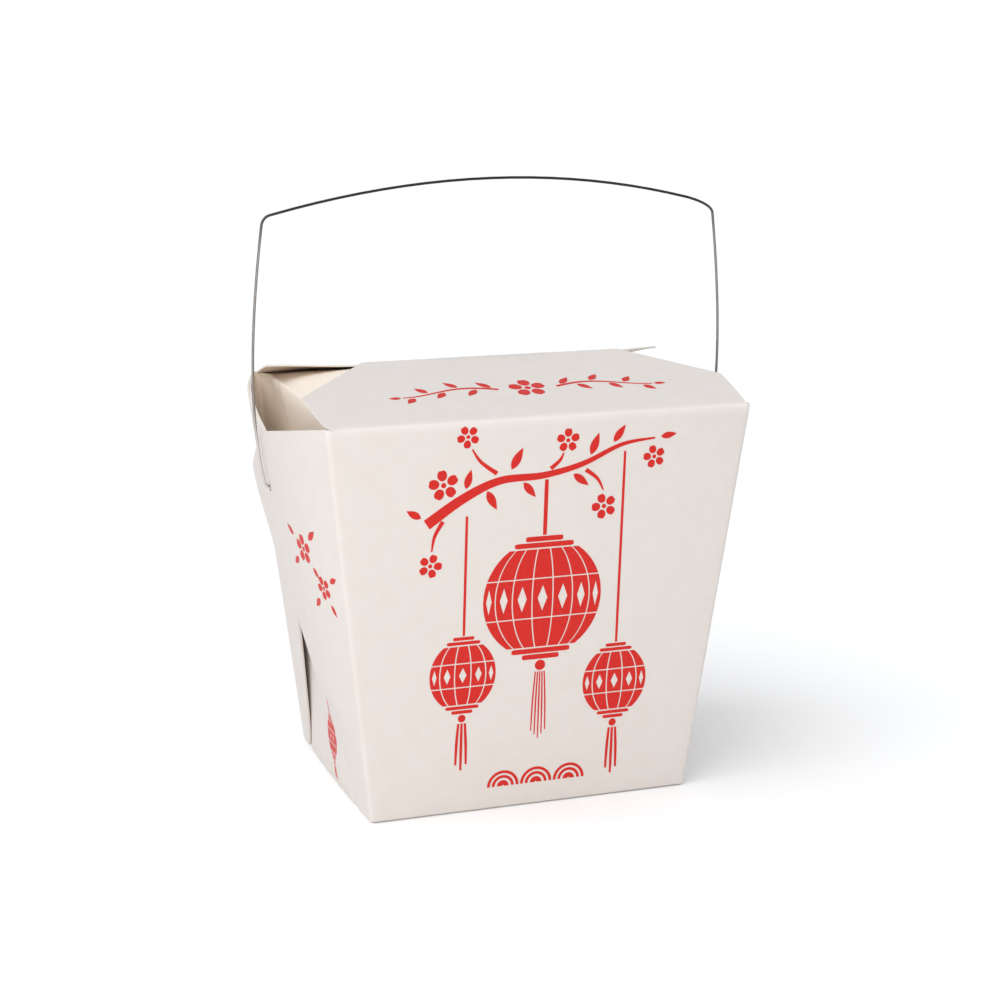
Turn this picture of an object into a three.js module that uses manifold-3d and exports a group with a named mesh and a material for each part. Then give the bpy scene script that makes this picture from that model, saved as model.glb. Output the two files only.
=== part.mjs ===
// Folded paperboard takeaway pail with a wire bail: three.js 0.186 and manifold-3d, millimetres, +Z up.
// Origin: middle of the bottom. The front panel faces -Y, the narrow sides face -X and +X.
import * as THREE from 'three';
import { mergeVertices } from 'three/addons/utils/BufferGeometryUtils.js';
import Module from 'manifold-3d';

const wasm = await Module();
wasm.setup();

// ---- driving dimensions, mm and degrees
const bottomWidth = 92;
const bottomDepth = 71;
const topWidth = 118;
const topDepth = 84;
const height = 110;
const shortestEdge = 0.02;
const board = 0.5; // one layer of paperboard
const foldedBoard = 1.3; // a corner web pressed double, with its spring

// lid: two flaps that rise from the long edges and meet over the middle of the box
const lidSlope = 0.215;
const lidCornerOut = 1; // how far a flap's corner stands past the narrow side
const lidCornerAt = 21; // depth of the corner, measured from the middle
const lidRidgeHalf = 37.5; // half width of the free edge, between the chamfers
const lidFoldInset = 0.3; // the flaps start just inside the body's top edges
const backFlapLower = 0.1; // the back flap lies under the front one
const backCornerCurl = 0.6; // its corners curl up
const tongueHalf = 17;
const tongueLength = 9;
const tongueRoot = 2;
const tongueTaper = 3;
const tongueHump = 0.3; // height of the tongue's bend over the ridge
const tongueFall = 0.75;
const tongueBoard = 0.7;
const lidCoreHalf = 24; // the closed middle, under both flaps
const lidCoreDepth = 2;

// narrow sides: the panel leans in at the top and the webs bow out over it
const panelLeanIn = 3.5;
const panelLeanFrom = 55; // heights between which the lean grows
const panelLeanFull = 100;
const panelBow = 0.8;
const panelCrest = 0.9; // how far the panel's top fold stands above its corners
const dustFlapRise = 0.1; // slope of the dust flap under the lid
const webBow = 8.4;
const webBowHeight = 105;
const webFoldAngle = 36.7; // of the fold's upper end, seen from the bottom corner, off the vertical
const webTopAtCorner = 109.9; // distance of the web's cut edge from the bottom corner
const webTopAtFold = 105.3;
const webTopSag = 1; // the cut edge dips between its ends
const webFootWidth = 12; // the web's lower end is this wide
const webFootHeight = 3;
const webRootSink = 0.4; // the web starts inside the corner fold
const frontFoldSpring = 1; // how far the fold stands off below the crossing of the webs
const backFoldSpring = 2.5;
const frontTipLift = 1.7; // how far the front web's upper tip stands off

// bail: wire bent in one plane, hooked into a hole in each narrow side
const wireRadius = 0.55;
const holeHeight = 86;
const holeRadius = 1.3;
const holeInnerX = 50;
const hookEndX = 52;
const hookOuterX = 65.4;
const hookBend = 2.2;
const legBulgeX = 71; // pulls the leg outwards, which bows it to about 68.3
const legBulgeHeight = 112;
const shoulderX = 64.95; // where the lines of leg and arch would meet
const shoulderHeight = 159.1;
const shoulderBend = 2.4;
const archTop = 167.9;
const bailShift = 0.4; // the bail sits a little to the right in its holes

// ---- small helpers
const halfWidthAt = (z) => (bottomWidth + ((topWidth - bottomWidth) * z) / height) / 2;
const halfDepthAt = (z) => (bottomDepth + ((topDepth - bottomDepth) * z) / height) / 2;
const smooth = (low, high, value) => THREE.MathUtils.smoothstep(value, low, high);
const { clamp, lerp } = THREE.MathUtils;

function toSolid(geometry) {
  const bare = geometry.clone();
  bare.deleteAttribute('normal');
  bare.deleteAttribute('uv');
  const merged = mergeVertices(bare, 1e-4);
  return new wasm.Manifold(new wasm.Mesh({
    numProp: 3,
    vertProperties: new Float32Array(merged.attributes.position.array),
    triVerts: new Uint32Array(merged.index.array),
  }));
}

function toGeometry(solid) {
  const mesh = solid.getMesh();
  const geometry = new THREE.BufferGeometry();
  geometry.setAttribute('position', new THREE.BufferAttribute(new Float32Array(mesh.vertProperties), 3));
  geometry.setIndex(new THREE.BufferAttribute(new Uint32Array(mesh.triVerts), 1));
  geometry.computeVertexNormals();
  return geometry;
}

// moves every vertex of a unit box (each side from 0 to 1) to where place(u, v, w) says
function shapedBox(segmentsU, segmentsV, segmentsW, place) {
  const geometry = new THREE.BoxGeometry(1, 1, 1, segmentsU, segmentsV, segmentsW);
  const position = geometry.attributes.position;
  const point = new THREE.Vector3();
  for (let i = 0; i < position.count; i += 1) {
    point.fromBufferAttribute(position, i).addScalar(0.5);
    const [x, y, z] = place(point.x, point.y, point.z);
    position.setXYZ(i, x, y, z);
  }
  return geometry;
}

// a sheet cut to an outline of [x, y] corners, its top face at the height that heightAt(x, y) says
function slopedSheet(outline, thickness, heightAt) {
  const shape = new THREE.Shape(outline.map(([x, y]) => new THREE.Vector2(x, y)));
  const geometry = new THREE.ExtrudeGeometry(shape, { depth: thickness, bevelEnabled: false });
  const position = geometry.attributes.position;
  for (let i = 0; i < position.count; i += 1) {
    const rise = heightAt(position.getX(i), position.getY(i));
    position.setZ(i, rise - thickness + position.getZ(i));
  }
  return geometry;
}

// ---- narrow sides: how far a surface stands out from the flat side, at depth y and height z
function panelOut(y, z) {
  const across = y / halfDepthAt(z);
  const leanAcross = smooth(-1, -0.4, across) * (1 - smooth(0.8, 1, across));
  const lean = leanAcross * smooth(panelLeanFrom, panelLeanFull, z);
  const bow = Math.sin((Math.PI * z) / height) * (1 - across * across);
  return panelBow * bow - panelLeanIn * lean;
}

function webOut(y, z) {
  const across = clamp(y / halfDepthAt(z), -1, 1);
  const low = 1 - Math.min(z / webBowHeight, 1);
  return webBow * (1 - low ** 1.3) * (1 - across * across);
}

// ---- carton body: bottom, four panels and the dust flaps that close it under the lid
function cartonBody() {
  return shapedBox(2, 18, 14, (u, v, w) => {
    const y = (2 * v - 1) * halfDepthAt(height * w);
    const across = Math.abs(2 * v - 1);
    const crest = panelCrest * (1 - across * across);
    const flap = u === 0.5 ? dustFlapRise * halfWidthAt(height) * (1 - across) : 0;
    const z = height * w + (w === 1 ? crest + flap : 0);
    const side = 2 * u - 1;
    return [side * (halfWidthAt(height * w) + panelOut(y, height * w)), y, z];
  });
}

// ---- corner web: pressed double, it fans from the bottom corner over the narrow side
// side -1 or +1 picks the narrow side, end -1 the front corner and +1 the back one
// the back web lies under the front web, so it is inset and its fold springs further off the panel
function cornerWeb(side, end) {
  const isBack = end === 1;
  const inset = isBack ? foldedBoard - 0.2 : 0;
  const foldSpring = isBack ? backFoldSpring : frontFoldSpring;
  const tipLift = isBack ? 0 : frontTipLift;
  const cornerLean = Math.atan((topDepth - bottomDepth) / 2 / height);
  const foldLean = THREE.MathUtils.degToRad(webFoldAngle);
  const geometry = shapedBox(1, 14, 16, (u, v, w) => {
    const angle = lerp(-0.9 * cornerLean, foldLean, v);
    const reach = lerp(webTopAtCorner, webTopAtFold, v ** 0.9) - webTopSag * Math.sin(Math.PI * v);
    const fromEnd = lerp(webFootWidth * v, reach * Math.sin(angle), w) - bottomDepth / 2;
    const z = lerp(webFootHeight, reach * Math.cos(angle), w);
    const across = fromEnd / halfDepthAt(z);
    const sink = webRootSink * (1 - smooth(-1, -0.85, across));
    const under = inset * smooth(-0.95, -0.3, across);
    const lift = tipLift * smooth(0.1, 0.75, across) * smooth(60, 85, z);
    const spring = foldSpring * v * v * smooth(-0.05, 0.06, w) * (1 - smooth(0.2, 0.45, w));
    const out = webOut(fromEnd, z) - sink - under + lift + spring - (1 - u) * foldedBoard;
    return [side * (halfWidthAt(z) + out), -end * fromEnd, z];
  });
  if (side === end) geometry.index.array.reverse();
  return geometry;
}

// ---- lid
const lidHeightAt = (x, y) => height + lidSlope * (topDepth / 2 - Math.abs(y));

// end -1 is the front flap and +1 the back one, whose corners are raised by curl
function lidFlap(end, lowered, curl) {
  const foldY = topDepth / 2 - lidFoldInset;
  const foldHalf = topWidth / 2 - lidFoldInset;
  const cornerX = topWidth / 2 + lidCornerOut;
  const outline = [
    [-foldHalf, foldY], [foldHalf, foldY],
    [cornerX, lidCornerAt], [lidRidgeHalf, 0],
    [-lidRidgeHalf, 0], [-cornerX, lidCornerAt],
  ].map(([x, y]) => [x, end * y]);
  return slopedSheet(outline, board, (x, y) => {
    const isCorner = Math.abs(x) > foldHalf;
    return lidHeightAt(x, y) - lowered + (isCorner ? curl : 0);
  });
}

// the front flap's tongue lies over the ridge and dips into a slit in the back flap
function lidTongue() {
  const tipHalf = tongueHalf - tongueTaper;
  const outline = [
    [-tongueHalf, -tongueRoot], [tongueHalf, -tongueRoot], [tongueHalf, 0],
    [tipHalf, tongueLength], [-tipHalf, tongueLength], [-tongueHalf, 0],
  ];
  return slopedSheet(outline, tongueBoard, (x, y) => {
    const past = y < 0 ? -y / tongueRoot : y / tongueLength;
    return lidHeightAt(x, y) + tongueHump - tongueFall * past;
  });
}

function lidCore() {
  return shapedBox(1, 2, 1, (u, v, w) => {
    const y = (2 * v - 1) * (topDepth / 2 - 1);
    const x = (2 * u - 1) * lidCoreHalf;
    const z = w === 0 ? height - lidCoreDepth : lidHeightAt(x, y) - board / 2;
    return [x, y, z];
  });
}

// ---- the holes that the bail hooks into
function bailHole(side) {
  const depth = topWidth / 2 - holeInnerX + webBow + foldedBoard;
  const geometry = new THREE.CylinderGeometry(holeRadius, holeRadius, depth, 12);
  geometry.rotateZ(Math.PI / 2);
  geometry.translate(side * (holeInnerX + depth / 2), 0, holeHeight);
  return geometry;
}

function cartonGeometry() {
  let carton = toSolid(cartonBody());
  for (const side of [-1, 1]) {
    for (const end of [-1, 1]) {
      carton = carton.add(toSolid(cornerWeb(side, end)));
    }
  }
  carton = carton.add(toSolid(lidCore()));
  carton = carton.add(toSolid(lidFlap(-1, 0, 0)));
  carton = carton.add(toSolid(lidFlap(1, backFlapLower, backCornerCurl)));
  carton = carton.add(toSolid(lidTongue()));
  for (const side of [-1, 1]) {
    carton = carton.subtract(toSolid(bailHole(side)));
  }
  return toGeometry(carton.simplify(shortestEdge));
}

// ---- bail: a path in the XZ plane, walked with its own number of steps on each span
class WirePath extends THREE.Curve {
  constructor(spans) {
    super();
    this.spans = spans;
    this.steps = spans.reduce((sum, span) => sum + span.steps, 0);
  }

  getPoint(t, target = new THREE.Vector3()) {
    let station = t * this.steps;
    let index = 0;
    while (index < this.spans.length - 1 && station > this.spans[index].steps) {
      station -= this.spans[index].steps;
      index += 1;
    }
    const span = this.spans[index];
    const flat = span.curve.getPoint(Math.min(station / span.steps, 1));
    return target.set(flat.x + bailShift, 0, flat.y);
  }

  getUtoTmapping(u) {
    return u;
  }
}

function bailPath() {
  const at = (x, z) => new THREE.Vector2(x, z);
  const line = (from, to, steps) => ({ curve: new THREE.LineCurve(from, to), steps });
  const bend = (from, corner, to, steps) => ({
    curve: new THREE.QuadraticBezierCurve(from, corner, to), steps,
  });
  // the crown pulls the arch up to its top, so the arch's ends point at the crown
  const archSlope = (2 * (archTop - shoulderHeight)) / shoulderX;
  const legSlope = (legBulgeX - shoulderX) / (shoulderHeight - legBulgeHeight);
  const half = (side) => {
    const hookEnd = at(side * hookEndX, holeHeight);
    const hookOut = at(side * (hookOuterX - hookBend), holeHeight);
    const hookCorner = at(side * hookOuterX, holeHeight);
    const legFoot = at(side * (hookOuterX + 0.2), holeHeight + hookBend);
    const legBelly = at(side * legBulgeX, legBulgeHeight);
    const legHead = at(side * (shoulderX + legSlope * shoulderBend), shoulderHeight - shoulderBend);
    const shoulder = at(side * shoulderX, shoulderHeight);
    const archFoot = at(side * (shoulderX - shoulderBend), shoulderHeight + archSlope * shoulderBend);
    return { hookEnd, hookOut, hookCorner, legFoot, legBelly, legHead, shoulder, archFoot };
  };
  const left = half(-1);
  const right = half(1);
  const crown = at(0, 2 * archTop - left.archFoot.y);
  return new WirePath([
    line(left.hookEnd, left.hookOut, 3),
    bend(left.hookOut, left.hookCorner, left.legFoot, 4),
    bend(left.legFoot, left.legBelly, left.legHead, 16),
    bend(left.legHead, left.shoulder, left.archFoot, 6),
    bend(left.archFoot, crown, right.archFoot, 24),
    bend(right.archFoot, right.shoulder, right.legHead, 6),
    bend(right.legHead, right.legBelly, right.legFoot, 16),
    bend(right.legFoot, right.hookCorner, right.hookOut, 4),
    line(right.hookOut, right.hookEnd, 3),
  ]);
}

function bailGeometry() {
  const section = new THREE.Shape();
  const sides = 8;
  for (let i = 0; i < sides; i += 1) {
    const angle = (2 * Math.PI * (i + 0.5)) / sides;
    const x = wireRadius * Math.cos(angle);
    const y = wireRadius * Math.sin(angle);
    if (i === 0) section.moveTo(x, y);
    else section.lineTo(x, y);
  }
  section.closePath();
  const path = bailPath();
  return new THREE.ExtrudeGeometry(section, { steps: path.steps, extrudePath: path, bevelEnabled: false });
}

// ---- the object
const paperboard = new THREE.MeshStandardMaterial({ color: '#e9e3dc', roughness: 0.62, metalness: 0 });
const steelWire = new THREE.MeshStandardMaterial({ color: '#8d8a86', roughness: 0.35, metalness: 1 });

const carton = new THREE.Mesh(cartonGeometry(), paperboard);
carton.name = 'carton';

const bail = new THREE.Mesh(bailGeometry(), steelWire);
bail.name = 'bail';

const box = new THREE.Group();
box.add(carton, bail);

export default box;
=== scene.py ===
import math

import bmesh
import bpy
from mathutils import Euler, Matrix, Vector


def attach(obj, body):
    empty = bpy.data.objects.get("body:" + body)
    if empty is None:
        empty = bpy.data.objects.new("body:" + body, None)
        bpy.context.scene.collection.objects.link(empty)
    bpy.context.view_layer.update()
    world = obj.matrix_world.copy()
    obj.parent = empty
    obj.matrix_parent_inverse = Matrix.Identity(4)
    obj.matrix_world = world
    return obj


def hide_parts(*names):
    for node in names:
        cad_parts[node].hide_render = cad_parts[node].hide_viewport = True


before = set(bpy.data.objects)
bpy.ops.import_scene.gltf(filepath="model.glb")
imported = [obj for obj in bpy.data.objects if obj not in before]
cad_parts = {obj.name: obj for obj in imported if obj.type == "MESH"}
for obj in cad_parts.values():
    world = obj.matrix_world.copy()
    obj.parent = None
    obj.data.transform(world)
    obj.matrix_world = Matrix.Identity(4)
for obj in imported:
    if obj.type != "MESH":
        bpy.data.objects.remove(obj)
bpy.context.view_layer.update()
mm = 0.001


def mix(low, high, share):
    return low + (high - low) * share


def ease(low, high, value):
    share = min(max((value - low) / (high - low), 0), 1)
    return share * share * (3 - 2 * share)


def linearColor(hexColor):
    channels = [int(hexColor[i:i + 2], 16) / 255 for i in (1, 3, 5)]
    return [c / 12.92 if c <= 0.04045 else ((c + 0.055) / 1.055) ** 2.4 for c in channels] + [1]


def leaveEditMode():
    bpy.ops.object.mode_set(mode="OBJECT")


def deselectAll():
    if bpy.context.object and bpy.context.object.mode != "OBJECT":
        leaveEditMode()
    bpy.ops.object.select_all(action="DESELECT")


def pick(*objects):
    deselectAll()
    for thing in objects:
        thing.select_set(True)
    bpy.context.view_layer.objects.active = objects[0]


def editAll(piece):
    pick(piece)
    bpy.ops.object.mode_set(mode="EDIT")
    bpy.ops.mesh.select_all(action="SELECT")


def editSelected(piece, kind, chosen):
    # opens edit mode with only the elements chosen(element) selected
    editAll(piece)
    bpy.ops.mesh.select_all(action="DESELECT")
    bpy.ops.mesh.select_mode(type=kind)
    work = bmesh.from_edit_mesh(piece.data)
    for element in (work.edges if kind == "EDGE" else work.faces):
        element.select = bool(chosen(element))
    work.select_flush_mode()
    bmesh.update_edit_mesh(piece.data)


def recalculateNormals(piece, mergeWithin=0.001):
    editAll(piece)
    bpy.ops.mesh.remove_doubles(threshold=mergeWithin * mm)
    bpy.ops.mesh.normals_make_consistent(inside=False)
    leaveEditMode()


def applyModifier(piece, kind, **settings):
    pick(piece)
    modifier = piece.modifiers.new(kind.title(), kind)
    for key, value in settings.items():
        setattr(modifier, key, value)
    bpy.ops.object.modifier_apply(modifier=modifier.name)


def gridSheet(name, columns, rows, place, paintedLightAt=lambda column, row: 0):
    # a grid primitive whose corners are then laid where place(column, row) says, in millimetres;
    # the last function gives the painted light and shade: 0 on an open face, 1 for painted warm bounce light
    # where a face is folded in out of sight or lies in the shaded pocket, and 2 for a painted dark shadow on
    # a score line
    deselectAll()
    bpy.ops.mesh.primitive_grid_add(x_subdivisions=columns, y_subdivisions=rows, size=1)
    sheet = bpy.context.object
    sheet.name = name
    paintedLightMark = sheet.data.attributes.new("paintedLightMark", "FLOAT", "POINT")
    for vertex in sheet.data.vertices:
        column = round((vertex.co.x + 0.5) * columns)
        row = round((vertex.co.y + 0.5) * rows)
        vertex.co = Vector(place(column, row)) * mm
        paintedLightMark.data[vertex.index].value = paintedLightAt(column, row)
    return sheet


def linkUp(tree, node, links):
    for key, source in links.items():
        tree.links.new(source, node.inputs[key])


def addNode(tree, kind, settings=None, links=None):
    # settings are socket names, socket numbers or the node's own properties; links are sockets to draw from
    node = tree.nodes.new("ShaderNode" + kind)
    for key, value in (settings or {}).items():
        if isinstance(key, int) or key in node.inputs:
            node.inputs[key].default_value = value
        else:
            setattr(node, key, value)
    linkUp(tree, node, links or {})
    return node


def newMaterial(name):
    material = bpy.data.materials.new(name)
    material.use_nodes = True
    return material, material.node_tree, material.node_tree.nodes["Principled BSDF"]


# the camera, in degrees and millimetres
shot = {"azimuth": -19.84, "elevation": 14.03, "roll": 0.58, "distance": 620.5, "target": (2.73, 0, 77.5),
        "lens": 79.2, "sensor": 36}


def outwards(azimuth, elevation):
    # azimuth 0 is straight out of the front, and it grows towards the right
    azimuth, elevation = math.radians(azimuth), math.radians(elevation)
    return Vector((math.sin(azimuth) * math.cos(elevation), -math.cos(azimuth) * math.cos(elevation),
                   math.sin(elevation)))


def makeCamera():
    back = outwards(shot["azimuth"], shot["elevation"])
    deselectAll()
    bpy.ops.object.camera_add(location=(Vector(shot["target"]) + back * shot["distance"]) * mm)
    camera = bpy.context.object
    turn = back.to_track_quat("Z", "Y") @ Euler((0, 0, math.radians(shot["roll"]))).to_quaternion()
    camera.rotation_euler = turn.to_euler()
    camera.data.lens = shot["lens"]
    camera.data.sensor_width = shot["sensor"]
    camera.data.clip_start = 0.01
    bpy.context.scene.camera = camera


# a white room, one broad soft light from the left and a near soft box in front; sizes in metres
studio = {"skyColor": "#fbfdff", "horizon": 0.35, "zenith": 0.98,
          "floorColor": "#fdfdfd", "floorSize": 40.0, "floorDrop": 0.0002, "floorRoughness": 0.9,
          "sunAzimuth": -75, "sunElevation": 57, "sunStrength": 1.15, "sunSpread": 50, "sunColor": "#fbfcff",
          "boxPlace": (-0.22, -0.40, 0.14), "boxAim": (0, 0, 0.06), "boxSize": 0.25, "boxPower": 0.56,
          "boxColor": "#fff6ee"}


def makeFloor():
    deselectAll()
    bpy.ops.mesh.primitive_plane_add(size=studio["floorSize"], location=(0, 0, -studio["floorDrop"]))
    floor = bpy.context.object
    floor.name = "floor"
    paint, _, surface = newMaterial("palePaintedFloor")
    surface.inputs["Base Color"].default_value = linearColor(studio["floorColor"])
    surface.inputs["Roughness"].default_value = studio["floorRoughness"]
    surface.inputs["Specular IOR Level"].default_value = 0.1
    floor.data.materials.append(paint)


def makeWorld():
    world = bpy.data.worlds.new("softWhiteRoom")
    world.use_nodes = True
    background = world.node_tree.nodes["Background"]
    background.inputs["Color"].default_value = linearColor(studio["skyColor"])
    direction = addNode(world.node_tree, "TexCoord").outputs["Object"]
    up = addNode(world.node_tree, "SeparateXYZ", {}, {0: direction}).outputs["Z"]
    strength = addNode(world.node_tree, "MapRange",
                       {"To Min": studio["horizon"], "To Max": studio["zenith"]}, {"Value": up})
    linkUp(world.node_tree, background, {"Strength": strength.outputs["Result"]})
    bpy.context.scene.world = world
    bpy.context.scene.view_settings.view_transform = "Standard"


def makeLights():
    toSun = outwards(studio["sunAzimuth"], studio["sunElevation"])
    bpy.ops.object.light_add(type="SUN", location=toSun)
    sun = bpy.context.object
    sun.name = "broadLeftLight"
    sun.data.energy = studio["sunStrength"]
    sun.data.angle = math.radians(studio["sunSpread"])
    sun.data.color = linearColor(studio["sunColor"])[:3]
    sun.rotation_euler = toSun.to_track_quat("Z", "Y").to_euler()
    bpy.ops.object.light_add(type="AREA", location=studio["boxPlace"])
    box = bpy.context.object
    box.name = "frontSoftBox"
    box.data.size = studio["boxSize"]
    box.data.energy = studio["boxPower"]
    box.data.color = linearColor(studio["boxColor"])[:3]
    aim = Vector(studio["boxAim"]) - Vector(studio["boxPlace"])
    box.rotation_euler = aim.to_track_quat("-Z", "Y").to_euler()


makeCamera()
makeFloor()
makeWorld()
makeLights()
print("camera and studio made")


# solid bleached board, clay coated and thinly sealed: near white, faintly cloudy, a soft sheen;
# the coating is cracked a little along pressed folds, which turn duller and lighter there, the lighter colour
# partly a painted highlight of folds catching the light; faces folded in or lying in the shaded pocket get
# painted warm bounce light, and the score line a dark painted shadow
boardLook = {"color": "#dad4cf", "cloudColor": "#d8d1cb", "foldWearAndHighlightColor": "#e4deda", "pocketBounceColor": "#f0e4d6",
             "scoreShadowColor": "#a08a76", "roughness": 0.5, "cloudSize": 5.0, "fibreSize": 0.35, "waveSize": 26.0}


def makeBoardMaterial():
    material, tree, surface = newMaterial("coatedBleachedBoard")
    place = addNode(tree, "TexCoord").outputs["Object"]
    clouds = addNode(tree, "TexNoise", {"Scale": 1 / (boardLook["cloudSize"] * mm), "Detail": 3.0,
                                        "Roughness": 0.6}, {"Vector": place})
    fibres = addNode(tree, "TexNoise", {"Scale": 1 / (boardLook["fibreSize"] * mm), "Detail": 2.0,
                                        "Roughness": 0.7}, {"Vector": place})
    waves = addNode(tree, "TexNoise", {"Scale": 1 / (boardLook["waveSize"] * mm), "Detail": 1.0},
                    {"Vector": place})
    shade = addNode(tree, "MapRange", {"From Min": 0.35, "From Max": 0.7}, {"Value": clouds.outputs["Fac"]})
    base = addNode(tree, "Mix", {"data_type": "RGBA", 6: linearColor(boardLook["color"]),
                                 7: linearColor(boardLook["cloudColor"])},
                   {"Factor": shade.outputs["Result"]})
    # near pressed folds the colour turns lighter: cracked coating, and also a painted highlight of folds
    # catching the light
    fold = addNode(tree, "Attribute", {"attribute_name": "fold"})
    foldCrackleAndHighlight = addNode(tree, "Math", {"operation": "MULTIPLY"},
                      {0: fold.outputs["Fac"], 1: fibres.outputs["Fac"]})
    foldWornAndLit = addNode(tree, "MapRange", {"From Min": 0.12, "From Max": 0.55},
                   {"Value": foldCrackleAndHighlight.outputs["Value"]})
    # this attribute paints warm bounce light where it is 1, on faces folded in or in the shaded pocket, and a
    # dark shadow line where it is 2, on the score line
    paintedLightAt = addNode(tree, "Attribute", {"attribute_name": "paintedLightMark"})
    pocketBounceLit = addNode(tree, "Mix", {"data_type": "RGBA", 7: linearColor(boardLook["pocketBounceColor"])},
                     {"Factor": paintedLightAt.outputs["Fac"], 6: base.outputs[2]})
    # the score line gets a dark painted shadow line
    scoreShadowMask = addNode(tree, "MapRange", {"From Min": 1.0, "From Max": 2.0}, {"Value": paintedLightAt.outputs["Fac"]})
    scoreShadowed = addNode(tree, "Mix", {"data_type": "RGBA", 7: linearColor(boardLook["scoreShadowColor"])},
                    {"Factor": scoreShadowMask.outputs["Result"], 6: pocketBounceLit.outputs[2]})
    color = addNode(tree, "Mix", {"data_type": "RGBA", 7: linearColor(boardLook["foldWearAndHighlightColor"])},
                    {"Factor": foldWornAndLit.outputs["Result"], 6: scoreShadowed.outputs[2]})
    sheen = addNode(tree, "MapRange", {"From Min": 0.3, "From Max": 0.7,
                                       "To Min": boardLook["roughness"] - 0.05,
                                       "To Max": boardLook["roughness"] + 0.08},
                    {"Value": fibres.outputs["Fac"]})
    roughness = addNode(tree, "Math", {"operation": "MULTIPLY_ADD", 1: 0.25},
                        {0: foldWornAndLit.outputs["Result"], 2: sheen.outputs["Result"]})
    grain = addNode(tree, "Bump", {"Strength": 0.1, "Distance": 0.03 * mm}, {"Height": fibres.outputs["Fac"]})
    slackness = addNode(tree, "Bump", {"Strength": 0.5, "Distance": 0.3 * mm},
                        {"Height": waves.outputs["Fac"], "Normal": grain.outputs["Normal"]})
    surface.inputs["Specular IOR Level"].default_value = 0.35
    linkUp(tree, surface, {"Base Color": color.outputs[2], "Roughness": roughness.outputs["Value"],
                           "Normal": slackness.outputs["Normal"]})
    return material


# three dull finishes, each of one colour speckled with another: on the raw cut edge the pulp is white and
# fuzzy, on the uncoated food side it has short fibres and a warmer, browner tone, partly its own and partly
# painted shade for the flap undersides where it shows, and the red ink is offset printed, so the board's
# cloudiness shows through it as tiny lighter specks
speckledLooks = {
    "rawCutBoardEdge": {"color": "#e9e4dd", "speckColor": "#dcd4c9", "speckSize": 0.5, "specks": (0, 1),
                        "detail": 3.0, "bump": 0.4, "bumpHeight": 0.08, "roughness": 0.85, "specular": 0.2},
    "uncoatedFoodSide": {"color": "#e2cfbd", "speckColor": "#d8c2ae", "speckSize": 1.2, "specks": (0, 1),
                         "detail": 3.0, "bump": 0.2, "bumpHeight": 0.08, "roughness": 0.85, "specular": 0.2},
    "redOffsetInk": {"color": "#c8190f", "speckColor": "#cf2a1f", "speckSize": 0.7, "specks": (0.5, 0.75),
                     "detail": 4.0, "bump": 0.1, "bumpHeight": 0.03, "roughness": 0.42, "specular": 0.3},
}


def makeSpeckledMaterial(name):
    look = speckledLooks[name]
    material, tree, surface = newMaterial(name)
    place = addNode(tree, "TexCoord").outputs["Object"]
    noise = addNode(tree, "TexNoise", {"Scale": 1 / (look["speckSize"] * mm), "Detail": look["detail"]},
                    {"Vector": place})
    low, high = look["specks"]
    specks = addNode(tree, "MapRange", {"From Min": low, "From Max": high}, {"Value": noise.outputs["Fac"]})
    color = addNode(tree, "Mix", {"data_type": "RGBA", 6: linearColor(look["color"]),
                                  7: linearColor(look["speckColor"])}, {"Factor": specks.outputs["Result"]})
    bump = addNode(tree, "Bump", {"Strength": look["bump"], "Distance": look["bumpHeight"] * mm},
                   {"Height": noise.outputs["Fac"]})
    surface.inputs["Roughness"].default_value = look["roughness"]
    surface.inputs["Specular IOR Level"].default_value = look["specular"]
    linkUp(tree, surface, {"Base Color": color.outputs[2], "Normal": bump.outputs["Normal"]})
    return material


# thin drawn steel wire with a light zinc skin: grey metal, a little mottled; low down it is lighter, a
# painted reflection of the white board and floor, and the arch is darker, a painted shade
wireLook = {"lowReflectionColor": "#cdc9c3", "legColor": "#8b8784", "archShadeColor": "#403c3a", "mottleSize": 1.4,
            "roughness": 0.32, "lowReflectionHeights": (98, 108), "archShadeHeights": (150, 161)}


def makeWireMaterial():
    material, tree, surface = newMaterial("galvanisedDrawnSteel")
    place = addNode(tree, "TexCoord").outputs["Object"]
    mottle = addNode(tree, "TexNoise", {"Scale": 1 / (wireLook["mottleSize"] * mm), "Detail": 4.0},
                     {"Vector": place})
    height = addNode(tree, "SeparateXYZ", {}, {0: place}).outputs["Z"]
    # below the first heights the wire takes a lighter painted reflection of the white board and floor, above
    # the second a darker painted shade
    above = [addNode(tree, "MapRange", {"From Min": low * mm, "From Max": high * mm}, {"Value": height})
             for low, high in (wireLook["lowReflectionHeights"], wireLook["archShadeHeights"])]
    legs = addNode(tree, "Mix", {"data_type": "RGBA", 6: linearColor(wireLook["lowReflectionColor"]),
                                 7: linearColor(wireLook["legColor"])},
                   {"Factor": above[0].outputs["Result"]})
    whole = addNode(tree, "Mix", {"data_type": "RGBA", 7: linearColor(wireLook["archShadeColor"])},
                    {"Factor": above[1].outputs["Result"], 6: legs.outputs[2]})
    shade = addNode(tree, "MapRange", {"To Min": 1.1, "To Max": 0.85}, {"Value": mottle.outputs["Fac"]})
    color = addNode(tree, "Mix", {"data_type": "RGBA", "blend_type": "MULTIPLY", "Factor": 1.0},
                    {6: whole.outputs[2], 7: shade.outputs["Result"]})
    gloss = addNode(tree, "MapRange", {"To Min": wireLook["roughness"] - 0.08,
                                       "To Max": wireLook["roughness"] + 0.12},
                    {"Value": mottle.outputs["Fac"]})
    surface.inputs["Metallic"].default_value = 1.0
    linkUp(tree, surface, {"Base Color": color.outputs[2], "Roughness": gloss.outputs["Result"]})
    return material


boardMaterial = makeBoardMaterial()
edgeMaterial, foodSideMaterial, inkMaterial = (makeSpeckledMaterial(name) for name in speckledLooks)
wireMaterial = makeWireMaterial()
print("materials made")

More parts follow.
